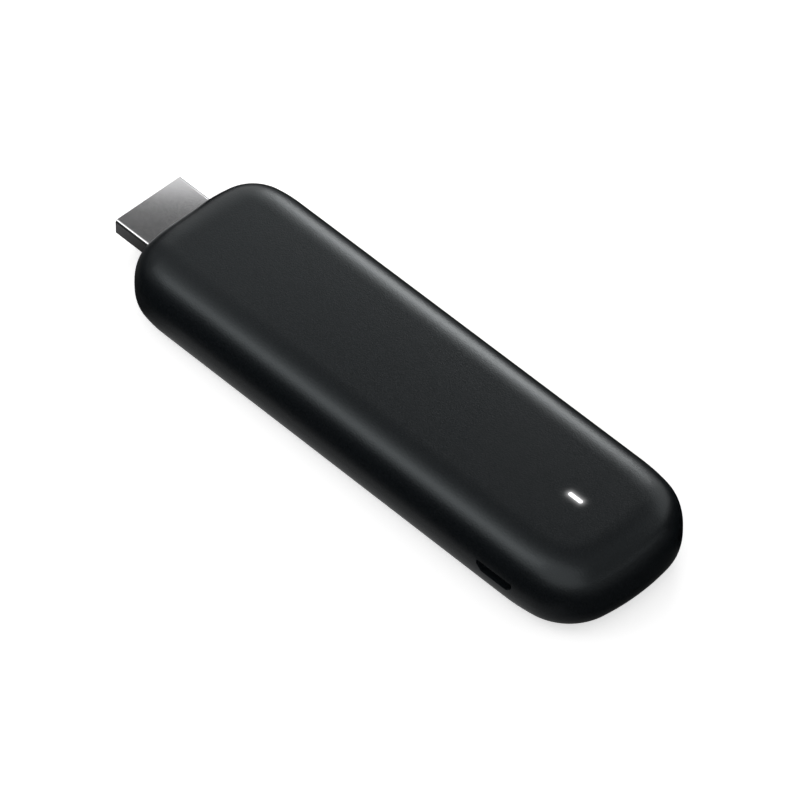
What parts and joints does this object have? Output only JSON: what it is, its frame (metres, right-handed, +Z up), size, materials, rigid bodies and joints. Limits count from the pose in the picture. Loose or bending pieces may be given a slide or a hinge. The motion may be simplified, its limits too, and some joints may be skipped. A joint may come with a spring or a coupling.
{
  "type": "streaming media stick",
  "caption": "Flat pillow-shaped media stick: moulded two-part housing, bare HDMI plug at one end, micro-USB power socket in a long side, and a small lamp slot in the top.",
  "frame": {"origin": "middle of the footprint of the whole stick, at the flat underside", "axes": "+X along the stick from the HDMI plug to the lamp end, +Y across it away from the power socket, +Z up out of the top cover"},
  "size_m": [0.1088, 0.0308, 0.0128],
  "materials": {
    "housing": "fine matt texture, charcoal",
    "steel": "nickel-plated, satin",
    "insulator": "smooth black moulding",
    "contact_gold": "gold-plated",
    "circuit_board": "green solder mask",
    "chip": "black moulding compound",
    "crystal": "satin cap",
    "coil": "pressed ferrite",
    "ceramic": "fired ceramic body",
    "shield": "tinned sheet",
    "thermal_pad": "soft silicone",
    "spreader": "rolled sheet",
    "antenna": "stamped strip",
    "clear_plastic": "milky clear moulding",
    "lamp": "white lamp package"
  },
  "bodies": {
    "root": {"top_cover": "housing", "bottom_cover": "housing", "plug_shell": "steel", "plug_insulator": "insulator", "plug_upper_contacts": "contact_gold", "plug_lower_contacts": "contact_gold", "main_board": "circuit_board", "processor_chip": "chip", "memory_chips": "chip", "storage_chip": "chip", "clock_crystal": "crystal", "surge_protectors": "chip", "power_chip": "chip", "power_coils": "coil", "top_capacitors": "ceramic", "bottom_capacitors": "ceramic", "wifi_board": "circuit_board", "wifi_can": "shield", "near_antenna": "antenna", "far_antenna": "antenna", "shield_frame": "shield", "shield_lid": "shield", "lower_shield_can": "shield", "processor_thermal_pad": "thermal_pad", "upper_thermal_pad": "thermal_pad", "storage_thermal_pad": "thermal_pad", "lower_thermal_pad": "thermal_pad", "upper_heat_spreader": "spreader", "lower_heat_spreader": "spreader", "usb_socket_shell": "steel", "usb_socket_insulator": "insulator", "usb_socket_contacts": "contact_gold", "light_pipe": "clear_plastic", "status_lamp": "lamp"}
  },
  "joints": []
}
